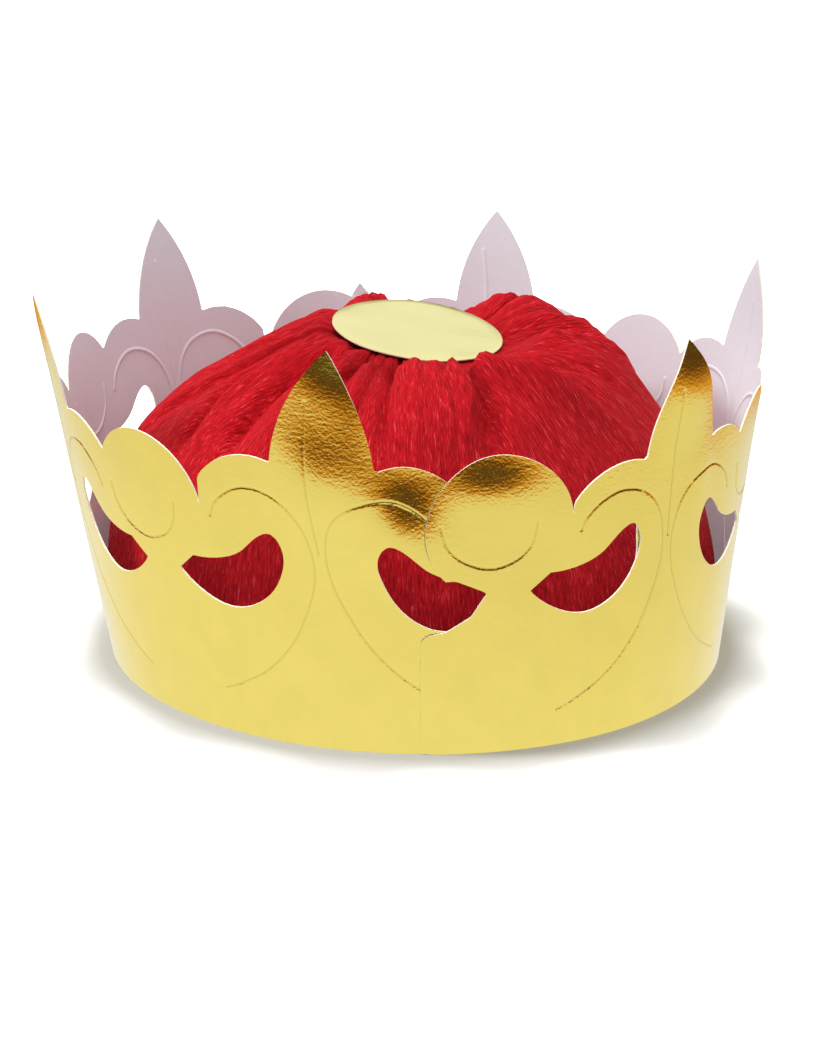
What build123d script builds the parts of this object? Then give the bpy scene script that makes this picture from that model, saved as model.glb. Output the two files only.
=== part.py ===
from build123d import *
from math import cos, radians, sin
import os

os.makedirs("parts", exist_ok=True)

# A party crown of gold-faced card with a gathered crepe-paper cap inside.
# Millimetres. +Z is up, the origin is the middle of the bottom edge.
# Azimuths are in degrees: 0 is the front (-Y), 90 is the right (+X).

# The card ring: an upright strip that widens upwards and leans a little to the left
card = 0.5
layer_gap = 0.12
bottom_radius = 95.0
flare = 0.137
lean_x = -0.0463
lean_y = -0.0056
strip_height = 124.0

# Reach of the punch that cuts the pattern: from inside the ring to outside it
punch_start = 72.0
punch_length = 58.0

# One repeat of the pattern, measured from the middle of a fleur
fleur_base_height = 85.2
fleur_half_width = 14.1
fleur_side = (9.9, 101.8)
fleur_tip_height = 117.2
scroll_top = (24.4, 85.8)
cusp = (36.6, 77.2)
window_outline = [
    (46.0, 49.1),
    (38.2, 42.7),
    (29.6, 40.4),
    (18.2, 46.1),
    (13.7, 54.0),
    (13.2, 60.2),
    (16.3, 64.8),
    (21.2, 62.6),
    (26.0, 58.0),
    (32.0, 55.2),
    (41.0, 54.0),
]
lobe_radius = 20.6
lobe_height = 67.6
body_height = 66.0

# The window beside a blank's tongue end reaches this much lower, point by point
seam_window_dip = [2.2, 2.2, 2.2, 1.4, 0.0, 0.0, 0.0, 0.4, 1.0, 1.4, 1.4]

# Overlap of the cut shapes with the plain band, and how far a blank is drawn past its ends
shape_overlap = 6.0
start_margin = 25.0
end_margin = 60.0

# A leaning leaf bends less at its sides than at its tip
side_lean = 0.7

# Each fleur, from a blank's lobed end on: azimuth, lift, turn of its shoulders, lean of its leaf
left_fleurs = [(-131.6, 0.3, 3.0, 0.0), (-72.0, -0.6, 0.0, -4.0), (-11.3, 0.6, -1.0, -4.5)]
right_fleurs = [(45.6, -1.6, 2.6, 1.0), (102.0, 0.4, 0.0, 5.0), (163.3, -1.5, 0.0, 0.0)]

# Each round lobe, from the lobed end on: azimuth, lift
left_lobes = [(-163.6, -0.6), (-102.8, 1.6), (-43.2, 0.0)]
right_lobes = [(14.3, 0.6), (73.4, 1.4), (131.6, -0.6)]

# Lobed end of a blank, measured from the middle of its end lobe
end_edge = -21.8
end_shoulder_height = 36.8
end_notch_low = (-15.0, 38.2)
end_notch_bend = (-8.1, 42.6)
end_notch_point = (-3.7, 49.5)
end_notch_high = (-12.5, 53.6)
end_overlap = 7.0
end_corner = 3.4

# Tongue end of a blank, in degrees on from its last fleur: a peak, a wide dip and a horn
tongue_root = (19.8, 77.0)
tongue_root_inside = (14.8, 60.0)
tongue_peak = (25.4, 89.6)
tongue_peak_flank = (27.3, 84.7)
tongue_wall = (28.6, 60.0)
tongue_floor = (38.5, 37.5)
tongue_far_wall = (49.4, 60.0)
tongue_horn_flank = (51.2, 81.5)
tongue_horn = (52.7, 86.0)

# Tongues of the two blanks stand a little lower and higher than their fleurs
left_tongue_lift = -1.8
right_tongue_lift = 0.0

# Round card that covers the gather: it falls to the right and rises to the back
disc_radius = 26.2
disc_centre = Vector(-0.3, 0.0, 97.9)
disc_fall_right = 0.111
disc_rise_back = 0.11

# Crepe cap: rings from the rim up towards the gather: radius, height, rise to the right, pleat depth
pleat_count = 30
cap_sheet = 1.2
cap_rings = [
    (96.1, 10.0, 0.0, 0.0),
    (93.4, 36.0, 0.0, 1.6),
    (87.0, 61.0, 0.5, 2.4),
    (76.5, 77.0, 3.4, 2.8),
    (62.0, 88.6, 6.2, 3.0),
    (47.0, 94.4, 4.0, 3.0),
    (33.0, 94.9, 0.0, 2.4),
]
gather_radius = 25.6
gather_depth = 0.5


def ring_radius(height):
    """Inner radius of the card ring at a height."""
    return bottom_radius + flare * height


def punch_plane(azimuth):
    """Upright plane inside the ring: +X runs to the right as seen from outside, +Z points out."""
    turn = radians(azimuth)
    out = Vector(sin(turn), -cos(turn), 0)
    return Plane(origin=out * punch_start, x_dir=(cos(turn), sin(turn), 0), z_dir=out)


def leaned(point, azimuth, lift=0.0, turn=0.0):
    """A pattern point, turned about the foot of its fleur, lifted, and leaned with the ring."""
    x, y = point
    angle = radians(turn)
    rise = y - fleur_base_height
    turned_x = x * cos(angle) - rise * sin(angle)
    turned_y = x * sin(angle) + rise * cos(angle) + fleur_base_height + lift
    drift = lean_x * cos(radians(azimuth)) + lean_y * sin(radians(azimuth))
    return (turned_x + drift * turned_y, turned_y)


def mirrored(point, side):
    """A point of the right half of the pattern, on the side asked for: 1 right, -1 left."""
    return (side * point[0], point[1])


def ring_sector(inner_radius, start, end):
    """Thin sector of card between two azimuths, flat in its sketch plane."""
    outer_radius = inner_radius + card
    with BuildSketch() as sector:
        with BuildLine():
            inner = CenterArc((0, 0), inner_radius, start - 90, end - start)
            outer = CenterArc((0, 0), outer_radius, start - 90, end - start)
            Line(inner @ 0, outer @ 0)
            Line(inner @ 1, outer @ 1)
        make_face()
    return sector.sketch


def body_sector(start, end):
    """Wedge of floor plan that keeps the plain lower band between two azimuths."""
    with BuildSketch() as sector:
        with BuildLine():
            inner = CenterArc((0, 0), punch_start, start - 90, end - start)
            outer = CenterArc((0, 0), punch_start + punch_length, start - 90, end - start)
            Line(inner @ 0, outer @ 0)
            Line(inner @ 1, outer @ 1)
        make_face()
    return sector.sketch


def fleur_shape(azimuth, lift, turn, lean):
    """Pointed leaf with a scroll shoulder on each side, down to the plain band."""
    tip = leaned((0, fleur_tip_height), azimuth, lift, turn + lean)
    with BuildSketch() as shape:
        with BuildLine():
            for side in (-1, 1):
                foot = leaned(mirrored((fleur_half_width, fleur_base_height), side), azimuth, lift, turn)
                bulge = leaned(mirrored(fleur_side, side), azimuth, lift, turn + side_lean * lean)
                crown = leaned(mirrored(scroll_top, side), azimuth, lift, turn)
                valley = leaned(mirrored(cusp, side), azimuth, lift, turn)
                skirt = (valley[0], body_height - shape_overlap)
                ThreePointArc(tip, bulge, foot)
                ThreePointArc(foot, crown, valley)
                Line(valley, skirt)
                Line(skirt, (0, body_height - shape_overlap))
        make_face()
    return shape.sketch


def window_shape(azimuth, side, dips):
    """Bean-shaped window beside a fleur; the dips lower its outline point by point."""
    outline = []
    for (x, y), dip in zip(window_outline, dips):
        outline.append(leaned(mirrored((x, y - dip), side), azimuth))
    with BuildSketch() as shape:
        with BuildLine():
            Spline(*outline)
            Line(outline[-1], outline[0])
        make_face()
    return shape.sketch


def end_panel(azimuth):
    """Lower part of a lobed end: an upright edge with round corners, up to the lobe."""
    with BuildSketch() as shape:
        with BuildLine():
            Polyline(
                leaned((end_overlap, 0), azimuth),
                leaned((end_edge, 0), azimuth),
                leaned((end_edge, end_shoulder_height), azimuth),
                leaned(end_notch_low, azimuth),
                leaned((end_overlap, lobe_height), azimuth),
                close=True,
            )
        make_face()
        corners = shape.vertices().sort_by(Axis.X)[:2]
        fillet(corners, end_corner)
    return shape.sketch


def end_notch(azimuth):
    """Notch between the lower part of a lobed end and its lobe, open to the outside."""
    with BuildSketch() as shape:
        with BuildLine():
            Polyline(
                leaned((end_edge - lobe_radius, end_notch_low[1]), azimuth),
                leaned(end_notch_low, azimuth),
                leaned(end_notch_bend, azimuth),
                leaned(end_notch_point, azimuth),
                leaned(end_notch_high, azimuth),
                leaned((end_edge - lobe_radius, end_notch_high[1]), azimuth),
                close=True,
            )
        make_face()
    return shape.sketch


def tongue_point(spot, azimuth, lift=0.0):
    """A tongue point given in degrees from its fleur, in the plane halfway along the tongue."""
    angle, height = spot
    middle = azimuth + tongue_floor[0]
    reach = radians(azimuth + angle - middle)
    return leaned((ring_radius(height) * sin(reach), height + lift), middle)


def tongue_shape(azimuth, lift):
    """Tongue end of a blank: peak, rounded dip and horn on a low strip that starts inside the body."""
    peak, flank, wall, floor, far_wall, horn_flank, horn = [
        tongue_point(spot, azimuth, lift)
        for spot in (
            tongue_peak,
            tongue_peak_flank,
            tongue_wall,
            tongue_floor,
            tongue_far_wall,
            tongue_horn_flank,
            tongue_horn,
        )
    ]
    start = tongue_point(tongue_root, azimuth, lift)
    inside = tongue_point(tongue_root_inside, azimuth, lift)
    start_foot = tongue_point((tongue_root_inside[0], 0), azimuth)
    horn_foot = tongue_point((tongue_horn[0], 0), azimuth)
    with BuildSketch() as shape:
        with BuildLine():
            Line(start, peak)
            ThreePointArc(peak, flank, wall)
            ThreePointArc(wall, floor, far_wall)
            ThreePointArc(far_wall, horn_flank, horn)
            Line(horn, horn_foot)
            Line(horn_foot, start_foot)
            Line(start_foot, inside)
            Line(inside, start)
        make_face()
        fillet(shape.vertices().sort_by(Axis.Y)[:2].sort_by(Axis.X)[-1], end_corner)
    return shape.sketch


def card_blank(fleurs, lobes, inner_offset, tongue_lift):
    """One die-cut card blank, wrapped round its part of the ring."""
    start = lobes[0][0]
    last = fleurs[-1][0]
    with BuildPart() as pattern:
        with BuildSketch():
            add(body_sector(start, last + tongue_root[0]))
        extrude(amount=body_height)
        for fleur in fleurs:
            with BuildSketch(punch_plane(fleur[0])):
                add(fleur_shape(*fleur))
            extrude(amount=punch_length)
        for azimuth, lift in lobes:
            with BuildSketch(punch_plane(azimuth)):
                with Locations(leaned((0, lobe_height + lift), azimuth)):
                    Circle(lobe_radius)
            extrude(amount=punch_length)
        with BuildSketch(punch_plane(start)):
            add(end_panel(start))
        extrude(amount=punch_length)
        with BuildSketch(punch_plane(start)):
            add(end_notch(start))
        extrude(amount=punch_length, mode=Mode.SUBTRACT)
        with BuildSketch(punch_plane(last + tongue_floor[0])):
            add(tongue_shape(last, tongue_lift))
        extrude(amount=punch_length)
    with BuildPart() as blank:
        for height in (0, strip_height):
            with BuildSketch(Plane((lean_x * height, lean_y * height, height))):
                add(ring_sector(ring_radius(height) + inner_offset, start - start_margin, last + end_margin))
        loft(ruled=True)
        add(pattern.part, mode=Mode.INTERSECT)
        for azimuth, *_ in fleurs:
            for side in (-1, 1):
                at_seam = (azimuth, side) == (last, 1)
                dips = seam_window_dip if at_seam else [0] * len(window_outline)
                with BuildSketch(punch_plane(azimuth)):
                    add(window_shape(azimuth, side, dips))
                extrude(amount=punch_length, mode=Mode.SUBTRACT)
    return blank


def disc_plane_height(x, y):
    """Height of the covering disc's underside over a place."""
    fall = disc_fall_right * (x - disc_centre.X)
    rise = disc_rise_back * (y - disc_centre.Y)
    return disc_centre.Z - fall + rise


def pleat_azimuths():
    """Azimuth and strength of each crest and valley: uneven, as hand-gathered paper is."""
    step = 360 / pleat_count
    for pleat in range(pleat_count):
        sway = 0.13 * sin(2.4 * pleat) + 0.06 * sin(5.1 * pleat + 1)
        strength = 1 + 0.35 * sin(1.7 * pleat + 0.6)
        yield (pleat + sway) * step, strength
        yield (pleat + sway + 0.5) * step, -strength


def pleated_ring(radius, height, rise, depth, inset):
    """Closed zigzag round the cap at one level, drawn in or down by the inset."""
    level = height / disc_centre.Z
    points = []
    for azimuth, strength in pleat_azimuths():
        turn = radians(azimuth)
        reach = radius + depth * strength * (1 - level) - inset
        rest = height + rise * sin(turn) + depth * strength * level - inset * level
        x = lean_x * height + reach * sin(turn)
        y = lean_y * height - reach * cos(turn)
        points.append((x, y, rest))
    return Wire.make_polygon(points, close=True)


def gather_ring(inset):
    """Closed zigzag at the gather, flat against the covering disc."""
    points = []
    for azimuth, strength in pleat_azimuths():
        turn = radians(azimuth)
        reach = gather_radius + gather_depth * strength - inset
        x = disc_centre.X + reach * sin(turn)
        y = disc_centre.Y - reach * cos(turn)
        points.append((x, y, disc_plane_height(x, y) - inset))
    return Wire.make_polygon(points, close=True)


def cap_dome(inset):
    """Solid pleated dome up to the gather, smaller by the inset all round."""
    rings = [pleated_ring(*ring, inset) for ring in cap_rings]
    return Solid.make_loft(rings + [gather_ring(inset)], ruled=True)


# The blank on the left lies inside the one on the right at both seams
left_band = card_blank(left_fleurs, left_lobes, 0, left_tongue_lift)
left_band.part.label = "left_band"
export_step(left_band.part, "parts/left_band.step")

right_band = card_blank(right_fleurs, right_lobes, card + layer_gap, right_tongue_lift)
right_band.part.label = "right_band"
export_step(right_band.part, "parts/right_band.step")

# The cap is one sheet of crepe: open below, gathered flat at the top
cap_outside = cap_dome(0)
cap_inside = cap_dome(cap_sheet)
with BuildPart() as crepe_cap:
    add(cap_outside)
    add(cap_inside, mode=Mode.SUBTRACT)
crepe_cap.part.label = "crepe_cap"
export_step(crepe_cap.part, "parts/crepe_cap.step")

# Gold card disc over the gather
disc_normal = (disc_fall_right, -disc_rise_back, 1)
with BuildPart() as top_disc:
    with BuildSketch(Plane(origin=disc_centre, z_dir=disc_normal)):
        Circle(disc_radius)
    extrude(amount=card)
top_disc.part.label = "top_disc"
export_step(top_disc.part, "parts/top_disc.step")
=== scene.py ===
from math import atan2, ceil, cos, exp, floor, hypot, pi, radians, sin, tan

import bmesh
import bpy
from mathutils import Matrix, Vector, kdtree, noise


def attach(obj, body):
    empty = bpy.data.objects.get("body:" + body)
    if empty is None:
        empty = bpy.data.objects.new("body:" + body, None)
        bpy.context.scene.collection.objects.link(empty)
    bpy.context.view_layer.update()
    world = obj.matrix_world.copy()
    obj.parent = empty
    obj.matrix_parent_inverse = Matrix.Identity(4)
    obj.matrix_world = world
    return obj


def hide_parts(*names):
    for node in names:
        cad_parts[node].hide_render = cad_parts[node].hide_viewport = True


bl_info = {
    "name": "Paper crown",
    "version": (1, 0, 0),
    "blender": (4, 5, 0),
    "location": "View3D > Sidebar > Paper crown",
    "description": "Foil card crown with a gathered crepe cap, dressed over its CAD frame",
    "category": "Object",
}

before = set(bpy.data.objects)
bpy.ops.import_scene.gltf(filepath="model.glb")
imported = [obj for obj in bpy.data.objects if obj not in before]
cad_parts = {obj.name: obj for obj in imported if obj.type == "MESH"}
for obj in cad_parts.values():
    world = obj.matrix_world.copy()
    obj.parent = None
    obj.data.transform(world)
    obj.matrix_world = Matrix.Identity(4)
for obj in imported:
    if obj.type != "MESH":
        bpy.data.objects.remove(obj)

# Sizes are in metres where a comment names no other unit.
# Angles round the ring are azimuths: 0 at the front, 90 at the right.
# The card ring widens upwards and leans a little, as its frame does.
BOTTOM_RADIUS = 0.095
FLARE = 0.137
LEAN = Vector((-0.0463, -0.0056))
CARD = 0.0005
LAYER_GAP = 0.00012
UNROLL_RADIUS = 0.106

# The card's mesh: side of a cell, how near a pressed line a cell is divided, and by how many cuts
CELL = 0.0012
CREASE_REACH = 0.0013
CREASE_CUTS = 3
LINE_STEP = 0.00015

# How near a vertex lies to a cut, or to the vertex that it is merged with
CUT_TOLERANCE = 1e-7
ON_CUT = 4e-7
BAND_MERGE = 2e-6
DISC_MERGE = 1e-6

# How squarely a face looks outwards, from 0 to 1: the outer face of a CAD blank, and a broad face
OUTER_FACE = 0.9
BROAD_FACE = 0.55

# Middle azimuth of each blank and how far its card stands off the inner blank
BANDS = {
    "left_band": {"middle": -72.0, "stand_off": 0.0},
    "right_band": {"middle": 102.0, "stand_off": CARD + LAYER_GAP},
}

# Fleurs: azimuth, lift of the pattern in mm, lean of the leaf in degrees
FLEURS = {
    "left_band": [(-131.6, 0.3, 3.0), (-72.0, -0.6, -4.0), (-11.3, 0.6, -5.0)],
    "right_band": [(45.6, -1.6, 3.0), (102.0, 0.4, 5.0), (163.3, -1.5, 0.0)],
}

# Lobes: azimuth, lift of the pressed arc in mm
LOBES = {
    "left_band": [(-163.6, -0.6), (-102.8, 1.6), (-43.2, 0.0)],
    "right_band": [(14.3, 0.6), (73.4, 1.4), (131.6, -0.6)],
}

# Lines pressed into the card beside a fleur, in mm from its middle line and up from the bottom
VEIN = [(0.0, 103.5), (-0.4, 92.0), (-0.2, 78.0), (0.0, 60.0)]
CURL = [
    (32.0, 67.0), (30.0, 71.0), (26.0, 74.5), (21.0, 76.8), (16.0, 77.0), (11.0, 75.5),
    (7.0, 72.5), (4.0, 68.0), (2.3, 62.0), (2.0, 55.0), (3.5, 48.0), (7.0, 40.0),
    (11.0, 33.0), (17.0, 26.0), (23.0, 21.0), (29.0, 17.5), (35.0, 14.5), (39.0, 13.0),
]
ROUND_ARC = [(-13.5, 69.0), (-12.0, 63.0), (-7.5, 58.3), (0.0, 56.0), (7.5, 58.3), (12.0, 63.0), (13.5, 69.0)]

# Height in mm above which the pressed lines lean with their leaf
LEAF_FOOT = 85.2

# Depth and width of a pressed line, and width of the painted shade that darkens the foil along it
CREASE_DEPTH = 0.00026
CREASE_WIDTH = 0.00036
PAINTED_CREASE_SHADE_WIDTH = 0.00024

# Places where the card is bent a little, so that its face turns up or down or sideways:
# azimuth, height mm, reach sideways mm, reach up mm, turn up in degrees, turn sideways in degrees
BENDS = [
    (-9.5, 117.0, 10.0, 13.0, 18.0, 0.0),
    (-12.0, 98.0, 15.0, 22.0, 8.5, 0.0),
    (0.0, 82.0, 9.0, 12.0, 3.0, 0.0),
    (12.5, 87.0, 15.0, 11.0, 12.0, 0.0),
    (45.5, 113.0, 12.0, 17.0, 19.0, 2.0),
    (52.0, 88.0, 6.0, 20.0, 4.0, 7.0),
    (-43.0, 40.0, 30.0, 30.0, -2.0, 2.0),
    (30.0, 30.0, 30.0, 25.0, 2.0, -2.0),
]

# Places where the card stands out from the round ring:
# azimuth, height mm, reach sideways mm, reach up mm, by mm
BULGES = [
    (98.0, 92.0, 24.0, 22.0, 2.4), (-98.0, 80.0, 22.0, 30.0, -1.6), (-15.0, 80.0, 9.0, 16.0, 1.0),
    (-10.0, 76.0, 9.0, 15.0, 2.2), (-5.5, 78.0, 9.0, 15.0, 3.2), (-6.5, 96.0, 7.0, 14.0, 1.8),
    (-9.7, 116.0, 9.0, 12.0, -1.6), (0.0, 64.0, 11.0, 13.0, 3.2), (0.0, 84.0, 10.0, 13.0, -1.8),
    (6.0, 72.0, 10.0, 14.0, -0.6), (12.5, 64.0, 13.0, 13.0, -1.0), (12.5, 88.0, 15.0, 12.0, -3.4),
]

# Slight waves of the whole card: height, waves for each metre, where in the noise they start,
# and how high up the card they are at their full height
CARD_WAVE = 0.00035
CARD_WAVE_SCALE = 22
CARD_WAVE_START = 3.1
CARD_WAVE_FULL = 0.03

# Crepe cap, from the gather out and down to the rim: radius mm, height mm, rise to the right mm
CAP_PROFILE = [
    (18.0, 93.0, -2.0), (25.6, 95.2, -2.6), (33.0, 94.6, 0.0), (47.0, 93.2, 4.0), (62.0, 86.8, 5.6),
    (75.0, 75.2, 2.4), (86.0, 60.0, 0.5), (93.4, 36.0, 0.0), (96.1, 10.0, 0.0),
]

# Places where the cap stands higher or lower: azimuth, radius mm, reach round mm, reach out mm, by mm
CAP_SWELLS = [
    (135.0, 46.0, 15.0, 12.0, 4.0), (-100.0, 80.0, 22.0, 12.0, 1.6),
    (96.0, 68.0, 16.0, 12.0, -1.2), (-22.0, 29.5, 4.0, 4.0, -4.0), (-5.0, 31.0, 3.0, 4.5, -5.0),
    (8.0, 46.0, 9.0, 16.0, 1.4), (30.0, 42.0, 8.0, 8.0, 1.6), (46.0, 60.0, 8.0, 10.0, 1.6),
    (92.0, 43.0, 7.0, 5.0, -2.2), (-70.0, 34.0, 14.0, 8.0, 1.4), (-30.0, 44.0, 12.0, 8.0, 1.2),
    (-136.0, 38.0, 30.0, 14.0, 2.6), (-166.0, 37.0, 17.0, 9.0, 5.4),
]

# Valleys between the gathered pleats: azimuth at the gather, azimuth near the rim,
# plumpness of the pleat that follows, and which way its crest leans
PLEAT_VALLEYS = [
    (-177.0, -176.0, 1.0, 0.4), (-162.0, -163.0, 0.9, -0.3), (-147.0, -150.0, 1.1, 0.5),
    (-132.0, -134.0, 1.0, 0.2), (-116.0, -119.0, 1.1, -0.4), (-99.0, -101.0, 0.9, 0.5),
    (-80.0, -83.0, 0.8, 0.5), (-60.0, -62.0, 1.2, -0.5), (-40.0, -46.0, 1.0, 0.5),
    (-24.0, -27.0, 0.9, 0.2), (-12.0, -13.0, 1.2, 0.4), (-3.6, -2.2, 1.4, 0.1),
    (18.5, 12.5, 0.7, 0.3), (24.0, 23.0, 1.1, -0.5), (33.0, 58.0, 1.2, 0.4),
    (55.0, 77.0, 1.0, 0.4), (76.0, 92.0, 1.3, -0.3), (96.0, 107.0, 1.1, 0.4),
    (113.0, 122.0, 1.0, 0.4), (130.0, 138.0, 1.2, -0.4), (148.0, 152.0, 1.0, 0.3),
    (165.0, 167.0, 1.1, 0.3),
]
PLEAT_STEEPNESS = 0.16
PLEAT_MOST = 2.4

# A valley turns from its azimuth at the gather to that near the rim between these radii in mm
PLEAT_TURN_FROM = 28.0
PLEAT_TURN_OVER = 50.0

# A pleat's section: how far its crest leans aside, the fullness of its flanks, the level it stands
# on, how far the sheet slides with the crest, and where in mm the pleats die away
PLEAT_LEAN = 0.62
PLEAT_FLANK = 1.25
PLEAT_ROUND = 0.9
PLEAT_LEVEL = 0.62
PLEAT_SLIDE = 0.9
PLEAT_END = 93.0
PLEAT_FADE_OVER = 24.0

# The crepe's own relief: a ripple (height, waves round, waves down the slope) and ridges
# (height, waves across a pleat, waves down the slope, where in the noise they start)
RIPPLE = (0.0012, 7, 16)
RIDGES = [(0.0014, 2.3, 9, 4.0), (0.0007, 7.0, 22, 9.0)]
RIDGE_CREST = 0.3
RELIEF_AT_RIM = 0.1

# Single folds of the cap, from the gather outwards: (azimuth, radius mm) along the fold,
# its reach on the lower and higher azimuth side in mm, and its height in mm
CAP_FOLDS = [
    ([(-3.2, 27), (-2.8, 50), (-2.3, 80)], 0.9, 9.0, 3.0),
    ([(16, 27), (19, 40), (20, 57), (15, 68), (12, 80)], 9.0, 1.0, 3.6),
    ([(22, 27), (24, 44), (24, 57), (20, 68), (17, 80)], 1.6, 4.2, -7.0),
    ([(29, 34), (30, 42), (33, 50), (39, 57), (48, 65), (55, 72), (61, 80)], 4.2, 2.0, 6.4),
    ([(42, 27), (45, 40), (54, 51), (64, 61), (72, 72)], 2.4, 4.0, -6.5),
    ([(64, 27), (74, 42), (80, 56), (84, 72)], 3.0, 6.0, 3.6),
    ([(86, 27), (92, 42), (95, 56), (95, 70)], 4.0, 1.8, -5.0),
    ([(104, 27), (106, 44), (104, 58), (100, 72)], 2.0, 5.0, 3.6),
    ([(148, 34), (138, 46), (118, 58), (100, 68), (88, 78)], 4.0, 7.0, 2.8),
    ([(-58, 27), (-73, 44), (-71, 56), (-62, 68), (-58, 82)], 2.0, 3.4, -7.0),
    ([(-48, 27), (-60, 44), (-58, 60), (-53, 76)], 4.5, 4.0, 2.8),
    ([(-39, 27), (-48, 45), (-47, 64), (-44, 82)], 1.8, 3.0, -6.6),
    ([(-30, 27), (-36, 44), (-36, 60), (-34, 78)], 4.0, 5.0, 2.4),
    ([(-22.6, 25), (-24, 40), (-24, 56), (-23, 74)], 1.8, 2.6, -3.4),
    ([(-12, 27), (-15, 38), (-15, 56), (-14, 72)], 4.0, 3.0, 2.2),
    ([(-5.8, 25), (-5.2, 42), (-4.8, 60), (-4.6, 76)], 3.0, 1.1, -5.4),
    ([(-96, 27), (-104, 46), (-100, 66)], 3.0, 4.0, -4.6),
    ([(178, 27), (-176, 46), (178, 66)], 3.0, 3.0, -4.6),
    ([(-140, 27), (-146, 46), (-140, 66)], 4.0, 3.0, -4.6),
    ([(150, 27), (156, 46), (150, 68)], 3.0, 4.0, -4.2),
]

# How far in mm a single fold is felt, the shares of its length in which it rises and falls,
# and how sharp its crest is
FOLD_FELT = 24
FOLD_RISE = 0.22
FOLD_FALL = 0.3
FOLD_SHARPNESS = 1.5
FOLD_STEP = 0.5

# The cap's mesh, with longer steps farther down, and its paper
CAP_STEPS_ROUND = 480
CAP_STEPS_DOWN = 96
CAP_STEP_GROWTH = 1.3
CAP_LINE_STEP = 0.0002
CAP_RIM_RADIUS = 0.0961
CREPE_THICKNESS = 0.0002

# Foil disc on the gather
DISC_RADIUS = 0.0262
DISC_CENTRE = Vector((-0.0003, 0.0, 0.0979))
DISC_NORMAL = Vector((0.111, -0.11, 1.0)).normalized()
DISC_OUTLINE = [
    (0.0, CARD), (0.006, CARD), (0.012, CARD), (0.018, CARD), (0.023, CARD), (0.0258, CARD),
    (0.0261, 0.00046), (DISC_RADIUS, 0.0004), (DISC_RADIUS, 0.0001), (0.0261, 0.0), (0.02, 0.0),
    (0.0, 0.0),
]
DISC_STEPS = 192
DISC_TOP_FACE = 0.75
DISC_SAG = 0.00025
DISC_SAG_SCALE = 60

# The crepe near the disc: how far it keeps below the disc's plane, and how far from its edge this goes on
TUCK_BELOW = 0.0006
TUCK_REACH = 0.016

# How far the crepe may drop below that: at the least, more outwards, and more towards the front
TUCK_DROP = 0.001
TUCK_DROP_OUTWARDS = 0.7
TUCK_DROP_FRONT = 0.02
TUCK_FRONT_FROM = 0.3

# How steeply the crepe may rise outside the disc's edge, and how much more steeply at the back
TUCK_MARGIN = 0.0005
TUCK_RISE = 0.24
TUCK_RISE_BACK = 1.2
TUCK_BACK_FROM = 0.6

# Foil: waves for each metre of its grain, ripples and rubbed patches, stretch of the ripples and
# their share in the bump, shade where it is rubbed, painted shade in its pressed lines, and its least and
# most roughness
FOIL_GRAIN_SCALE = 1250.0
FOIL_RIPPLE_SCALE = 620.0
FOIL_RUB_SCALE = 70.0
FOIL_STRETCH = (0.6, 1.0, 1.0)
FOIL_RIPPLE_SHARE = 0.9
FOIL_RUBBED = 0.94
FOIL_PAINTED_CREASE_SHADE = 0.78
FOIL_ROUGHNESS = (0.09, 0.15)
DISC_SMOOTHER = 8

# Between these a pattern's noise mostly lies
NOISE_LOW = 0.3
NOISE_HIGH = 0.7

# Papers: waves for each metre across and along their streaks
PLAIN_CARD = {"streaks": 900.0, "length": 900.0, "bump_height": 0.00002, "roughness": 0.62}
CUT_CARD = {"streaks": 1500.0, "length": 1500.0, "bump_height": 0.00003, "roughness": 0.8}
CREPE_PAPER = {"streaks": 1900.0, "length": 260.0, "roughness": 0.75}
PLAIN_CARD_SHADE = 0.93
CUT_CARD_SHADE = 0.85

# Shades of the crepe's streaks, partly the paper's own grain tone and partly painted shade in the crinkle
# hollows and a painted pale highlight on their ridges: place on the noise, share of the paper's colour, and
# what is added
CREPE_GRAIN_SHADE_AND_HIGHLIGHT = [
    (0.32, 0.35, (0, 0, 0)), (0.46, 0.8, (0, 0, 0)), (0.56, 1.12, (0, 0, 0)), (0.70, 1.2, (0.16, 0.11, 0.12)),
]

# Share of the long streaks in a paper's shade; the rest is patches
STREAK_SHARE = 0.8
PATCH_SHARE = 0.2

# Floor: its own colour, and the distances between which its shadow gives way to plain white
FLOOR_RADIUS = 3.0
FLOOR_COLOUR = (0.80, 0.80, 0.80)
FLOOR_SHADED_TO = 0.099
FLOOR_WHITE_FROM = 0.128

# Painted reflections that only the foil sees, dark and warm away from the crown: of the floor by the distance
# from a place beside its middle, which is dimmed after a diffuse bounce, and of the world by its height
FLOOR_PAINTED_REFLECTION = [
    (0.12, (0.97, 0.97, 0.97)), (0.20, (0.90, 0.89, 0.87)), (0.32, (0.84, 0.82, 0.76)),
    (0.38, (0.80, 0.42, 0.08)), (0.56, (0.42, 0.18, 0.04)), (0.95, (0.13, 0.07, 0.025)),
]
FLOOR_PAINTED_REFLECTION_SHIFT = (0.05, 0, 0)
FLOOR_BOUNCE_DIMMING = -0.7
WORLD_PAINTED_REFLECTION = [
    (0.0, (0.12, 0.05, 0.02)), (0.06, (0.05, 0.035, 0.02)), (0.13, (0.17, 0.14, 0.05)),
    (0.22, (0.30, 0.26, 0.13)), (0.33, (0.55, 0.50, 0.36)), (0.42, (0.98, 0.98, 0.96)),
]
AMBIENT_LIGHT = (0.54, 0.54, 0.55)

# Lamps: name, place, what it points at, power in watts, side
LAMPS = [
    ("key", (-0.12, 0.1, 1.2), (0, 0, 0.05), 12.0, 0.35),
    ("side", (-0.95, -0.2, 0.7), (0, 0, 0.08), 6.5, 0.22),
    ("fill", (0.35, -1.1, 0.7), (0, 0, 0.06), 2.0, 1.0),
]

# The photograph's camera
PICTURE_HEIGHT = 1037
FOCAL_PIXELS = 2252.06
CAMERA_TARGET = Vector((-0.0003528, 0.0, 0.0376387))
CAMERA_DISTANCE = 0.704945
CAMERA_ELEVATION = 0.3157
CAMERA_ROLL = 0.0131
SENSOR_HEIGHT = 36.0


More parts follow.
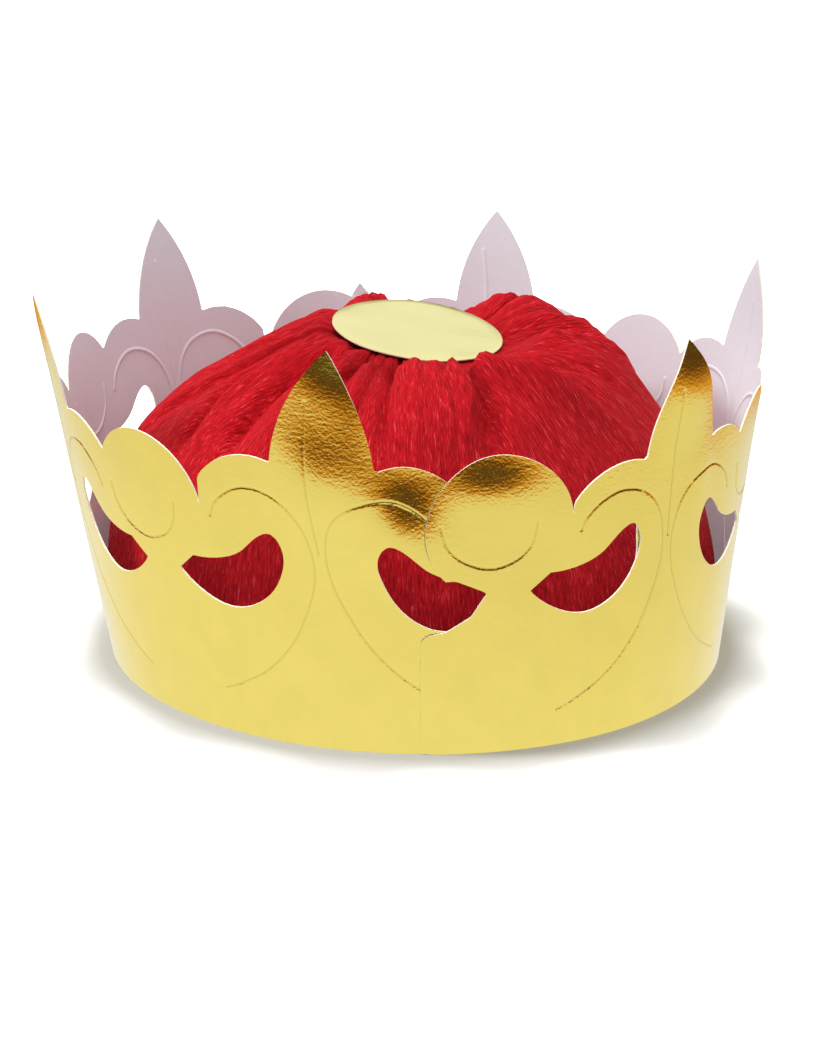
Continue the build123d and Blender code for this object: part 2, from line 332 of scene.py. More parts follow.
class CrownSizes(bpy.types.PropertyGroup):
    """Sizes that a user may change before the pieces are made"""

    crease_depth: bpy.props.FloatProperty(
        name="Pressed line depth",
        description="How deep the lines are pressed into the card",
        default=CREASE_DEPTH,
        unit="LENGTH",
    )
    peel_height: bpy.props.FloatProperty(
        name="Foil unevenness",
        description="Height of the fine unevenness of the foil",
        default=0.00009,
        unit="LENGTH",
    )
    crinkle_height: bpy.props.FloatProperty(
        name="Crepe crinkle",
        description="Height of the fine crinkle of the crepe paper",
        default=0.0010,
        unit="LENGTH",
    )
    pleat_height: bpy.props.FloatProperty(
        name="Pleat fullness",
        description="How far the pleats of the cap stand out, against their width",
        default=PLEAT_STEEPNESS,
    )


class CrownColours(bpy.types.PropertyGroup):
    """Colours that a user may change before the pieces are made"""

    foil: bpy.props.FloatVectorProperty(
        name="Foil",
        description="Gold face of the card",
        subtype="COLOR",
        size=3,
        default=(0.90, 0.73, 0.175),
    )
    disc_foil: bpy.props.FloatVectorProperty(
        name="Disc foil",
        description="Paler gold face of the disc",
        subtype="COLOR",
        size=3,
        default=(0.94, 0.87, 0.38),
    )
    card: bpy.props.FloatVectorProperty(
        name="Card",
        description="Plain inner face of the card",
        subtype="COLOR",
        size=3,
        default=(0.73, 0.75, 0.80),
    )
    cut_edge: bpy.props.FloatVectorProperty(
        name="Cut edge",
        description="Core of the card where it is cut",
        subtype="COLOR",
        size=3,
        default=(0.86, 0.83, 0.66),
    )
    crepe: bpy.props.FloatVectorProperty(
        name="Crepe paper",
        description="Paper of the cap",
        subtype="COLOR",
        size=3,
        default=(0.56, 0.009, 0.016),
    )


def out_direction(azimuth):
    """Level direction from the ring's middle outwards, at an azimuth in radians."""
    return Vector((sin(azimuth), -cos(azimuth), 0))


def unrolled(place, middle):
    """Flat place of a point of the ring: X along the card, Y up."""
    centre = LEAN * place.z
    azimuth = atan2(place.x - centre.x, centre.y - place.y)
    azimuth = middle + (azimuth - middle + pi) % (2 * pi) - pi
    return Vector((azimuth * UNROLL_RADIUS, place.z, 0))


def rolled(flat, stand_off):
    """Place on the ring of a flat point, so far outside the card's inner face."""
    azimuth, height = flat.x / UNROLL_RADIUS, flat.y
    reach = BOTTOM_RADIUS + FLARE * height + stand_off
    centre = LEAN * height
    return Vector((centre.x, centre.y, height)) + out_direction(azimuth) * reach


def drift_at(azimuth):
    """Sideways drift of the leaning pattern for each unit of height."""
    return LEAN.x * cos(azimuth) + LEAN.y * sin(azimuth)


def smooth_line(points, step=LINE_STEP):
    """Points at even steps along a smooth line through a few given ones."""
    ends = [points[0]] + list(points) + [points[-1]]
    line = []
    for before, start, end, after in zip(ends, ends[1:], ends[2:], ends[3:]):
        count = max(2, ceil((end - start).length / step))
        for i in range(count):
            t = i / count
            line.append(
                0.5
                * (
                    2 * start
                    + (end - before) * t
                    + (2 * before - 5 * start + 4 * end - after) * t * t
                    + (3 * start - before - 3 * end + after) * t**3
                )
            )
    return line + [points[-1]]


def pressed_points(band):
    """Every point of the pressed lines of a blank, on its flat card."""
    found = []
    for azimuth, lift, lean in FLEURS[band]:
        turn = radians(azimuth)
        for line, side in ((VEIN, 1), (CURL, 1), (CURL, -1)):
            placed = []
            for across, height in line:
                up = height + lift
                tilt = -radians(lean) * max(0.0, height - LEAF_FOOT)
                x = side * across + tilt + drift_at(turn) * up
                placed.append(Vector((turn * UNROLL_RADIUS + x / 1000, up / 1000)))
            found += smooth_line(placed)
    for azimuth, lift in LOBES[band]:
        turn = radians(azimuth)
        placed = []
        for across, height in ROUND_ARC:
            x = across + drift_at(turn) * height
            placed.append(Vector((turn * UNROLL_RADIUS + x / 1000, (height + lift) / 1000)))
        found += smooth_line(placed)
    return found


def crease_tree(points):
    """Search tree over the points of the pressed lines."""
    tree = kdtree.KDTree(len(points))
    for index, point in enumerate(points):
        tree.insert(Vector((point.x, point.y, 0)), index)
    tree.balance()
    return tree


def bent_by(flat):
    """How far the bends of the card move it outwards at a flat place."""
    moved = 0.0
    for azimuth, height, across, up, turn_up, turn_side in BENDS:
        x = (flat.x - radians(azimuth) * UNROLL_RADIUS) * 1000
        y = flat.y * 1000 - height
        fade = exp(-((x / across) ** 2) - (y / up) ** 2)
        moved += fade * (-tan(radians(turn_up)) * y - tan(radians(turn_side)) * x) / 1000
    for azimuth, height, across, up, by in BULGES:
        x = (flat.x - radians(azimuth) * UNROLL_RADIUS) * 1000
        moved += by / 1000 * exp(-((x / across) ** 2) - ((flat.y * 1000 - height) / up) ** 2)
    wave = noise.noise(Vector((flat.x * CARD_WAVE_SCALE, flat.y * CARD_WAVE_SCALE, CARD_WAVE_START)))
    return moved + CARD_WAVE * wave * min(1.0, flat.y / CARD_WAVE_FULL)


def cut_into_cells(bm):
    """Cuts a flat face into square cells and clears its long old triangles."""
    low = Vector((min(v.co.x for v in bm.verts), min(v.co.y for v in bm.verts)))
    high = Vector((max(v.co.x for v in bm.verts), max(v.co.y for v in bm.verts)))
    for axis, normal in ((0, (1, 0, 0)), (1, (0, 1, 0))):
        for k in range(floor(low[axis] / CELL) + 1, ceil(high[axis] / CELL)):
            bmesh.ops.bisect_plane(
                bm,
                geom=bm.verts[:] + bm.edges[:] + bm.faces[:],
                dist=CUT_TOLERANCE,
                plane_co=Vector(normal) * k * CELL,
                plane_no=normal,
            )

    def on_cut(edge):
        a, b = (v.co for v in edge.verts)
        return any(
            abs(a[i] - b[i]) < ON_CUT and abs(a[i] - round(a[i] / CELL) * CELL) < ON_CUT for i in (0, 1)
        )

    old = [e for e in bm.edges if len(e.link_faces) == 2 and not on_cut(e)]
    bmesh.ops.dissolve_edges(bm, edges=old, use_verts=True, use_face_split=False)


def refine_near(bm, tree):
    """Divides the cells that a pressed line runs through."""
    near = [f for f in bm.faces if tree.find(f.calc_center_median())[2] < CREASE_REACH]
    edges = {e for f in near for e in f.edges}
    bmesh.ops.subdivide_edges(bm, edges=list(edges), cuts=CREASE_CUTS, use_grid_fill=True)


def shader(material, kind, **inputs):
    """Adds a node to a material or group and sets what is given."""
    tree = material.node_tree if hasattr(material, "node_tree") else material
    made = tree.nodes.new(kind)
    for name, value in inputs.items():
        made.inputs[name.replace("_", " ")].default_value = value
    return made


def join(material, source, target):
    """Links an output socket to an input socket."""
    tree = material.node_tree if hasattr(material, "node_tree") else material
    tree.links.new(source, target)


def maths(material, operation, **values):
    """Maths node; values are given as first, second and third."""
    made = shader(material, "ShaderNodeMath")
    made.operation = operation
    for place, value in values.items():
        made.inputs[("first", "second", "third").index(place)].default_value = value
    return made


def vector_maths(material, operation, second=(0, 0, 0)):
    """Vector maths node with its second vector."""
    made = shader(material, "ShaderNodeVectorMath")
    made.operation = operation
    made.inputs[1].default_value = second
    return made


def colour_mix(material, **colours):
    """Node that goes from the colour "off" to the colour "on"; returns it with those two sockets."""
    made = shader(material, "ShaderNodeMix")
    made.data_type = "RGBA"
    sockets = {"off": made.inputs[6], "on": made.inputs[7]}
    for name, colour in colours.items():
        sockets[name].default_value = (*colour, 1)
    return made, sockets


def new_group(name, inputs, outputs):
    """Empty shader node group with named sockets."""
    group = bpy.data.node_groups.new(name, "ShaderNodeTree")
    for label, kind in inputs:
        group.interface.new_socket(name=label, in_out="INPUT", socket_type=kind)
    for label, kind in outputs:
        group.interface.new_socket(name=label, in_out="OUTPUT", socket_type=kind)
    start = group.nodes.new("NodeGroupInput")
    end = group.nodes.new("NodeGroupOutput")
    return group, start, end


def paper_fibre_group():
    """Streaky paper: a shade and a height, stretched along the second coordinate."""
    if "paper fibre" in bpy.data.node_groups:
        return bpy.data.node_groups["paper fibre"]
    group, start, end = new_group(
        "paper fibre",
        [("Place", "NodeSocketVector"), ("Streaks", "NodeSocketFloat"), ("Length", "NodeSocketFloat")],
        [("Shade", "NodeSocketFloat"), ("Height", "NodeSocketFloat")],
    )
    split = shader(group, "ShaderNodeSeparateXYZ")
    place = shader(group, "ShaderNodeCombineXYZ")
    streaks = shader(group, "ShaderNodeTexNoise", Scale=1.0, Detail=5.0, Roughness=0.66, Distortion=0.5)
    patches = shader(group, "ShaderNodeTexNoise", Scale=0.22, Detail=3.0, Roughness=0.55)
    blend = maths(group, "MULTIPLY_ADD", second=STREAK_SHARE)
    fewer = maths(group, "MULTIPLY", second=PATCH_SHARE)
    join(group, start.outputs["Place"], split.inputs[0])
    for axis, waves in enumerate(("Streaks", "Length", "Streaks")):
        scaled = maths(group, "MULTIPLY")
        join(group, split.outputs[axis], scaled.inputs[0])
        join(group, start.outputs[waves], scaled.inputs[1])
        join(group, scaled.outputs[0], place.inputs[axis])
    join(group, place.outputs[0], streaks.inputs["Vector"])
    join(group, place.outputs[0], patches.inputs["Vector"])
    join(group, streaks.outputs["Fac"], blend.inputs[0])
    join(group, patches.outputs["Fac"], fewer.inputs[0])
    join(group, fewer.outputs[0], blend.inputs[2])
    join(group, blend.outputs[0], end.inputs["Shade"])
    join(group, streaks.outputs["Fac"], end.inputs["Height"])
    return group


def pressed_foil_group():
    """Foil laid on card: fine unevenness, longer across than up, and faint rubbed patches."""
    if "pressed foil" in bpy.data.node_groups:
        return bpy.data.node_groups["pressed foil"]
    group, start, end = new_group(
        "pressed foil",
        [("Place", "NodeSocketVector")],
        [("Height", "NodeSocketFloat"), ("Rub", "NodeSocketFloat")],
    )
    stretch = vector_maths(group, "MULTIPLY", FOIL_STRETCH)
    grain = shader(group, "ShaderNodeTexNoise", Scale=FOIL_GRAIN_SCALE, Detail=2.0, Roughness=0.5)
    ripple = shader(group, "ShaderNodeTexNoise", Scale=FOIL_RIPPLE_SCALE, Detail=2.5, Roughness=0.5)
    rub = shader(group, "ShaderNodeTexNoise", Scale=FOIL_RUB_SCALE, Detail=6.0, Roughness=0.6)
    total = maths(group, "MULTIPLY_ADD", second=FOIL_RIPPLE_SHARE)
    join(group, start.outputs["Place"], stretch.inputs[0])
    join(group, start.outputs["Place"], grain.inputs["Vector"])
    join(group, stretch.outputs[0], ripple.inputs["Vector"])
    join(group, start.outputs["Place"], rub.inputs["Vector"])
    join(group, ripple.outputs["Fac"], total.inputs[0])
    join(group, grain.outputs["Fac"], total.inputs[2])
    join(group, total.outputs[0], end.inputs["Height"])
    join(group, rub.outputs["Fac"], end.inputs["Rub"])
    return group


def set_ramp(ramp, stops):
    """Sets a colour ramp's stops, each a position and a colour."""
    for element, (position, colour) in zip(ramp.elements, (stops[0], stops[-1])):
        element.position, element.color = position, (*colour, 1)
    for position, colour in stops[1:-1]:
        ramp.elements.new(position).color = (*colour, 1)


def new_material(name):
    """Material with its Principled shader and its object coordinates."""
    made = bpy.data.materials.new(name)
    made.use_nodes = True
    return made, made.node_tree.nodes["Principled BSDF"], shader(made, "ShaderNodeTexCoord")


def foil_material(name, base, peel_height, use_uv):
    """Thin gold foil on card, a little paler where it isn't rubbed, with painted shade darkening its pressed
    lines.
    """
    made, surface, place = new_material(name)
    surface.inputs["Metallic"].default_value = 1.0
    foil = shader(made, "ShaderNodeGroup")
    foil.node_tree = pressed_foil_group()
    tint = shader(made, "ShaderNodeValToRGB")
    base = Vector(base)
    set_ramp(tint.color_ramp, [(NOISE_LOW, base * FOIL_RUBBED), (NOISE_HIGH, base)])
    smooth, dull = FOIL_ROUGHNESS
    gloss = shader(
        made, "ShaderNodeMapRange", From_Min=NOISE_LOW, From_Max=NOISE_HIGH, To_Min=smooth, To_Max=dull
    )
    bump = shader(made, "ShaderNodeBump", Strength=1.0, Distance=peel_height)
    join(made, place.outputs["UV" if use_uv else "Object"], foil.inputs["Place"])
    join(made, foil.outputs["Rub"], tint.inputs["Fac"])
    join(made, foil.outputs["Rub"], gloss.inputs["Value"])
    join(made, foil.outputs["Height"], bump.inputs["Height"])
    join(made, gloss.outputs["Result"], surface.inputs["Roughness"])
    join(made, bump.outputs["Normal"], surface.inputs["Normal"])
    # Painted shade: the pressed attribute darkens the foil's colour along its pressed lines
    if use_uv:
        pressed = shader(made, "ShaderNodeAttribute")
        pressed.attribute_name = "pressed"
        line, ends = colour_mix(made, on=base * FOIL_PAINTED_CREASE_SHADE)
        join(made, pressed.outputs["Fac"], line.inputs["Factor"])
        join(made, tint.outputs["Color"], ends["off"])
        join(made, line.outputs[2], surface.inputs["Base Color"])
    else:
        join(made, tint.outputs["Color"], surface.inputs["Base Color"])
    return made


def paper_material(name, stops, streaks, length, bump_height, roughness, use_uv):
    """Matt paper with fibre streaks; stops are its colours from the dark streaks to the pale, which for the
    crepe hold painted shade and highlight as well.
    """
    if name in bpy.data.materials:
        return bpy.data.materials[name]
    made, surface, place = new_material(name)
    fibre = shader(made, "ShaderNodeGroup")
    fibre.node_tree = paper_fibre_group()
    fibre.inputs["Streaks"].default_value = streaks
    fibre.inputs["Length"].default_value = length
    tint = shader(made, "ShaderNodeValToRGB")
    set_ramp(tint.color_ramp, stops)
    bump = shader(made, "ShaderNodeBump", Strength=1.0, Distance=bump_height)
    surface.inputs["Roughness"].default_value = roughness
    join(made, place.outputs["UV" if use_uv else "Object"], fibre.inputs["Place"])
    join(made, fibre.outputs["Shade"], tint.inputs["Fac"])
    join(made, fibre.outputs["Height"], bump.inputs["Height"])
    join(made, tint.outputs["Color"], surface.inputs["Base Color"])
    join(made, bump.outputs["Normal"], surface.inputs["Normal"])
    return made


def card_materials(colours):
    """The card's plain face and its cut edge."""
    card, core = Vector(colours.card), Vector(colours.cut_edge)
    plain_stops = [(NOISE_LOW, card * PLAIN_CARD_SHADE), (NOISE_HIGH, card)]
    cut_stops = [(NOISE_LOW, core * CUT_CARD_SHADE), (NOISE_HIGH, core)]
    return (
        paper_material("plain card", plain_stops, use_uv=False, **PLAIN_CARD),
        paper_material("cut card", cut_stops, use_uv=False, **CUT_CARD),
    )


def crepe_material(base, crinkle_height):
    """Matt crepe with fine crinkles that run down the sheet, from the gather to the rim; its colour holds
    painted shade in the crinkles' hollows and a painted highlight on their ridges.
    """
    red = Vector(base)
    stops = [(place, red * share + Vector(added)) for place, share, added in CREPE_GRAIN_SHADE_AND_HIGHLIGHT]
    made = paper_material("crepe paper", stops, bump_height=crinkle_height, use_uv=True, **CREPE_PAPER)
    surface = made.node_tree.nodes["Principled BSDF"]
    surface.inputs["Sheen Weight"].default_value = 0.04
    surface.inputs["Sheen Roughness"].default_value = 0.5
    surface.inputs["Sheen Tint"].default_value = (1.0, 0.2, 0.2, 1)
    surface.inputs["Specular IOR Level"].default_value = 0.08
    return made


def finished(name, bm, materials, replaced):
    """Makes an object of a finished shape that stands for a CAD node."""
    mesh = bpy.data.meshes.new(name)
    bm.to_mesh(mesh)
    bm.free()
    for material in materials:
        mesh.materials.append(material)
    piece = bpy.data.objects.new(name, mesh)
    bpy.context.scene.collection.objects.link(piece)
    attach(piece, "root")
    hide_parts(replaced)
    return piece


def foil_band(node):
    """Card blank with its gold face, pressed lines, bends, plain back and cut edges."""
    band, sizes, colours = BANDS[node], bpy.context.scene.crown_sizes, bpy.context.scene.crown_colours
    middle = radians(band["middle"])
    bm = bmesh.new()
    bm.from_mesh(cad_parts[node].data)
    bmesh.ops.remove_doubles(bm, verts=bm.verts[:], dist=BAND_MERGE)

    def faces_out(face):
        centre = face.calc_center_median()
        return face.normal.dot(out_direction(unrolled(centre, middle).x / UNROLL_RADIUS)) > OUTER_FACE

    bmesh.ops.delete(bm, geom=[f for f in bm.faces if not faces_out(f)], context="FACES")
    for v in bm.verts:
        v.co = unrolled(v.co, middle)
    cut_into_cells(bm)
    tree = crease_tree(pressed_points(node))
    refine_near(bm, tree)
    bmesh.ops.triangulate(bm, faces=[f for f in bm.faces if len(f.verts) > 4])
    flat = bm.loops.layers.uv.new("flat card")
    # Painted shade: a vertex value that darkens the foil's colour along the pressed lines
    painted_crease_shade = bm.verts.layers.float.new("pressed")
    for face in bm.faces:
        face.smooth = True
        for loop in face.loops:
            loop[flat].uv = (loop.vert.co.x, loop.vert.co.y)
    for v in bm.verts:
        away = tree.find(v.co)[2]
        v[painted_crease_shade] = exp(-((away / PAINTED_CREASE_SHADE_WIDTH) ** 2))
        pressed = sizes.crease_depth * exp(-((away / CREASE_WIDTH) ** 2))
        v.co = rolled(v.co, band["stand_off"] + CARD + bent_by(v.co) - pressed)
    bmesh.ops.recalc_face_normals(bm, faces=bm.faces[:])
    sample = next(iter(bm.faces))
    if sample.normal.dot(sample.calc_center_median().xy.to_3d()) < 0:
        bmesh.ops.reverse_faces(bm, faces=bm.faces[:])
    bmesh.ops.solidify(bm, geom=bm.faces[:], thickness=CARD)
    bm.normal_update()
    for face in bm.faces:
        centre = face.calc_center_median()
        out = out_direction(unrolled(centre, middle).x / UNROLL_RADIUS)
        facing = face.normal.dot(out)
        face.material_index = 0 if facing > BROAD_FACE else 1 if facing < -BROAD_FACE else 2
    for edge in bm.edges:
        if len({f.material_index for f in edge.link_faces}) > 1:
            edge.smooth = False
    card, core = card_materials(colours)
    foil = bpy.data.materials.get("gold foil") or foil_material(
        "gold foil", colours.foil, sizes.peel_height, True
    )
    return finished(node + "_foil", bm, [foil, card, core], node)


def cap_profile():
    """Smooth line of the cap's fall: radius, height and rise, in metres."""
    points = [Vector(p) / 1000 for p in CAP_PROFILE]
    line = smooth_line(points, CAP_LINE_STEP)
    lengths = [0.0]
    for a, b in zip(line, line[1:]):
        lengths.append(lengths[-1] + (b.xy - a.xy).length)
    stops = []
    at = 0
    for i in range(CAP_STEPS_DOWN + 1):
        goal = lengths[-1] * (i / CAP_STEPS_DOWN) ** CAP_STEP_GROWTH
        while at < len(lengths) - 2 and lengths[at + 1] < goal:
            at += 1
        stops.append((line[at], lengths[at]))
    return stops


def pleat_at(azimuth, radius, steepness):
    """Pleat at a place of the cap, in degrees and mm: its bulge (0 to 1), its height, the lean of
    its crest, its sheet's azimuth at the rim, and the place across the pleats, counted in pleats."""
    share = min(1.0, max(0.0, (radius - PLEAT_TURN_FROM) / PLEAT_TURN_OVER))
    valleys = [start + (end - start) * share for start, end, _, _ in PLEAT_VALLEYS]
    turned = valleys[0] + (azimuth - valleys[0]) % 360
    index = max(i for i, a in enumerate(valleys) if a <= turned + 1e-9)
    following = (index + 1) % len(valleys)
    right = valleys[following] + (360 if following == 0 else 0)
    _, rim, plump, lean = PLEAT_VALLEYS[index]
    rim_right = PLEAT_VALLEYS[following][1] + (360 if following == 0 else 0)
    along = (turned - valleys[index]) / (right - valleys[index])
    crest = 0.5 + PLEAT_LEAN * lean
    rising = along / crest if along < crest else (1 - along) / (1 - crest)
    bulge = sin(min(1.0, rising * PLEAT_FLANK) * pi / 2) ** PLEAT_ROUND
    tall = min(PLEAT_MOST, plump * radians(right - valleys[index]) * radius * steepness)
    return bulge, tall, lean, rim + along * (rim_right - rim), index + along


def fold_trees():
    """Search tree over each single fold's points, with their directions and fades."""
    folds = []
    for points, before, after, by in CAP_FOLDS:
        line = smooth_line([out_direction(radians(a)) * r for a, r in points], FOLD_STEP)
        tree = crease_tree(line)
        ways = [(b - a).normalized() for a, b in zip(line, line[1:])]
        folds.append((tree, ways + ways[-1:], before, after, by))
    return folds


def folded_by(folds, azimuth, radius):
    """How far the single folds lift the cap at an azimuth in radians and a radius in mm."""
    spot = out_direction(azimuth) * radius
    lift = 0.0
    for tree, ways, before, after, by in folds:
        nearest, index, away = tree.find(spot)
        if away > FOLD_FELT:
            continue
        reach = after if ways[index].cross(spot - nearest).z > 0 else before
        share = index / len(ways)
        fade = min(1.0, share / FOLD_RISE) * min(1.0, (1 - share) / FOLD_FALL)
        lift += by * fade * exp(-((away / reach) ** FOLD_SHARPNESS))
    return lift


def swollen_by(degrees_round, radius):
    """How far the swells lift the cap at an azimuth and a radius in mm."""
    lift = 0.0
    for round_at, out_at, round_reach, out_reach, by in CAP_SWELLS:
        turned = (degrees_round - round_at + 180) % 360 - 180
        x, y = radians(turned) * radius / round_reach, (radius - out_at) / out_reach
        lift += by * exp(-x * x - y * y)
    return lift


def crepe_relief(azimuth, length, across):
    """Height of the crepe's own unevenness, so far down its slope and across its pleats."""
    height, waves_round, waves_down = RIPPLE
    spot = Vector((sin(azimuth) * waves_round, cos(azimuth) * waves_round, length * waves_down))
    relief = height * noise.noise(spot)
    for height, waves_across, waves_down, start in RIDGES:
        spot = Vector((across * waves_across, length * waves_down, start))
        relief += height * (RIDGE_CREST - abs(noise.noise(spot)))
    return relief


def tucked_height(spot, azimuth):
    """Height of a place of the cap: near the disc it is kept under it, but not far below it."""
    from_disc = (spot - DISC_CENTRE).xy.length
    if from_disc >= DISC_RADIUS + TUCK_REACH:
        return spot.z
    under = DISC_CENTRE.z - (spot - DISC_CENTRE).xy.dot(DISC_NORMAL.xy) / DISC_NORMAL.z - TUCK_BELOW
    front = max(0.0, cos(azimuth) + TUCK_FRONT_FROM)
    back = max(0.0, TUCK_BACK_FROM - cos(azimuth))
    drop = TUCK_DROP + max(0.0, from_disc - DISC_RADIUS) * TUCK_DROP_OUTWARDS + front * TUCK_DROP_FRONT
    room = max(0.0, from_disc - DISC_RADIUS - TUCK_MARGIN)
    return min(max(spot.z, under - drop), under + room * (TUCK_RISE + TUCK_RISE_BACK * back))


def cap_place(stop, length, azimuth, upright, folds, steepness):
    """Finished place of a point of the cap, and its sheet's azimuth at the rim."""
    degrees_round = azimuth * 180 / pi
    mm = stop.x * 1000
    bulge, tall, lean, rim_azimuth, across = pleat_at(degrees_round, mm, steepness)
    fade = min(1.0, max(0.0, (PLEAT_END - mm) / PLEAT_FADE_OVER))
    high = tall * fade * (bulge - PLEAT_LEVEL) / 1000
    high += crepe_relief(azimuth, length, across) * min(1.0, fade + RELIEF_AT_RIM)
    high += (folded_by(folds, azimuth, mm) + swollen_by(degrees_round, mm)) / 1000
    slide = lean * PLEAT_SLIDE * tall * bulge * fade / 1000
    out = out_direction(azimuth)
    side = Vector((cos(azimuth), sin(azimuth), 0))
    centre = LEAN * stop.y
    spot = Vector((centre.x, centre.y, stop.y + stop.z * sin(azimuth))) + out * stop.x
    spot += (out * (1 - upright) + Vector((0, 0, upright))) * high + side * slide
    spot.z = tucked_height(spot, azimuth)
    return spot, radians(rim_azimuth)


def spin_round(bm, points, steps):
    """Turns a line of points, each a radius and a height, all the way round the upright axis."""
    line = [bm.verts.new((radius, 0, height)) for radius, height in points]
    edges = [bm.edges.new(pair) for pair in zip(line, line[1:])]
    bmesh.ops.spin(
        bm,
        geom=line + edges,
        cent=(0, 0, 0),
        axis=(0, 0, 1),
        angle=2 * pi,
        steps=steps,
        use_merge=True,
        use_duplicate=False,
    )


def gathered_cap():
    """Crepe sheet: a dome of uneven pleats drawn in to the gather."""
    sizes, colours = bpy.context.scene.crown_sizes, bpy.context.scene.crown_colours
    stops = cap_profile()
    folds = fold_trees()
    bm = bmesh.new()
    spin_round(bm, [(stop.x, stop.y) for stop, _ in stops], CAP_STEPS_ROUND)
    bm.normal_update()
    if sum(f.normal.z for f in bm.faces) < 0:
        bmesh.ops.reverse_faces(bm, faces=bm.faces[:])
    sheet = bm.loops.layers.uv.new("sheet")
    placed = {}
    lengths = {}
    rims = {}
    for v in bm.verts:
        radius = hypot(v.co.x, v.co.y)
        stop, length = min(stops, key=lambda s: abs(s[0].x - radius) + abs(s[0].y - v.co.z))
        azimuth = atan2(v.co.x, -v.co.y)
        lengths[v.index] = length
        placed[v], rims[v.index] = cap_place(
            stop, length, azimuth, abs(v.normal.z), folds, sizes.pleat_height
        )
    for face in bm.faces:
        face.smooth = True
        angles = [rims[loop.vert.index] for loop in face.loops]
        wraps = max(angles) - min(angles) > pi
        for loop, angle in zip(face.loops, angles):
            angle += 2 * pi if wraps and angle < 0 else 0
            loop[sheet].uv = (angle * CAP_RIM_RADIUS, lengths[loop.vert.index])
    for v, spot in placed.items():
        v.co = spot
    crepe = crepe_material(colours.crepe, sizes.crinkle_height)
    cap = finished("gathered_crepe", bm, [crepe], "crepe_cap")
    thick = cap.modifiers.new("paper", "SOLIDIFY")
    thick.thickness = CREPE_THICKNESS
    thick.offset = -1
    return cap


def foil_disc():
    """Round card over the gather, barely dished, with a cut edge."""
    sizes, colours = bpy.context.scene.crown_sizes, bpy.context.scene.crown_colours
    bm = bmesh.new()
    spin_round(bm, DISC_OUTLINE, DISC_STEPS)
    bmesh.ops.remove_doubles(bm, verts=bm.verts[:], dist=DISC_MERGE)
    bmesh.ops.recalc_face_normals(bm, faces=bm.faces[:])
    for face in bm.faces:
        face.smooth = True
        face.material_index = 0 if face.normal.z > DISC_TOP_FACE else 1
    for edge in bm.edges:
        if len({f.material_index for f in edge.link_faces}) > 1:
            edge.smooth = False
    turn = Vector((0, 0, 1)).rotation_difference(DISC_NORMAL).to_matrix()
    for v in bm.verts:
        sag = DISC_SAG * noise.noise(v.co * DISC_SAG_SCALE) * (v.co.xy.length / DISC_RADIUS)
        v.co = DISC_CENTRE + turn @ (v.co + Vector((0, 0, sag)))
    core = card_materials(colours)[1]
    foil = foil_material("pale gold foil", colours.disc_foil, sizes.peel_height / DISC_SMOOTHER, False)
    return finished("gather_disc", bm, [foil, core], "top_disc")


def floor_material():
    """White paper: the camera sees its shadow, and the foil sees a painted reflection on it that darkens
    outwards.
    """
    made, surface, place = new_material("white floor")
    surface.inputs["Roughness"].default_value = 0.9
    surface.inputs["Specular IOR Level"].default_value = 0.0
    light = shader(made, "ShaderNodeLightPath")
    reach = vector_maths(made, "LENGTH")
    aside = vector_maths(made, "ADD", FLOOR_PAINTED_REFLECTION_SHIFT)
    mirror_reach = vector_maths(made, "LENGTH")
    painted_floor_reflection = shader(made, "ShaderNodeValToRGB")
    set_ramp(painted_floor_reflection.color_ramp, FLOOR_PAINTED_REFLECTION)
    own, _ = colour_mix(made, off=FLOOR_COLOUR, on=(0, 0, 0))
    seen, seen_ends = colour_mix(made, off=(1, 1, 1))
    whiteness = shader(made, "ShaderNodeMapRange", From_Min=FLOOR_SHADED_TO, From_Max=FLOOR_WHITE_FROM)
    by_camera = maths(made, "MULTIPLY")
    once = maths(made, "MULTIPLY_ADD", second=FLOOR_BOUNCE_DIMMING, third=1.0)
    once.use_clamp = True
    glow = maths(made, "MULTIPLY_ADD")
    join(made, place.outputs["Object"], reach.inputs[0])
    join(made, place.outputs["Object"], aside.inputs[0])
    join(made, aside.outputs[0], mirror_reach.inputs[0])
    join(made, mirror_reach.outputs["Value"], painted_floor_reflection.inputs["Fac"])
    join(made, reach.outputs["Value"], whiteness.inputs["Value"])
    # Painted reflection: to glossy rays the floor's own colour is black and the painted ramp glows in its
    # place, dimmed after a diffuse bounce
    join(made, light.outputs["Is Glossy Ray"], own.inputs["Factor"])
    join(made, light.outputs["Is Glossy Ray"], seen.inputs["Factor"])
    join(made, painted_floor_reflection.outputs["Color"], seen_ends["on"])
    join(made, own.outputs[2], surface.inputs["Base Color"])
    join(made, seen.outputs[2], surface.inputs["Emission Color"])
    join(made, light.outputs["Is Camera Ray"], by_camera.inputs[0])
    join(made, whiteness.outputs["Result"], by_camera.inputs[1])
    join(made, light.outputs["Diffuse Depth"], once.inputs[0])
    join(made, light.outputs["Is Glossy Ray"], glow.inputs[0])
    join(made, once.outputs[0], glow.inputs[1])
    join(made, by_camera.outputs[0], glow.inputs[2])
    join(made, glow.outputs[0], surface.inputs["Emission Strength"])
    return made


def white_floor():
    """Round floor, far wider than the picture."""
    bm = bmesh.new()
    bmesh.ops.create_circle(bm, cap_ends=True, segments=96, radius=FLOOR_RADIUS)
    mesh = bpy.data.meshes.new("floor")
    bm.to_mesh(mesh)
    bm.free()
    mesh.materials.append(floor_material())
    floor_piece = bpy.data.objects.new("floor", mesh)
    bpy.context.scene.collection.objects.link(floor_piece)


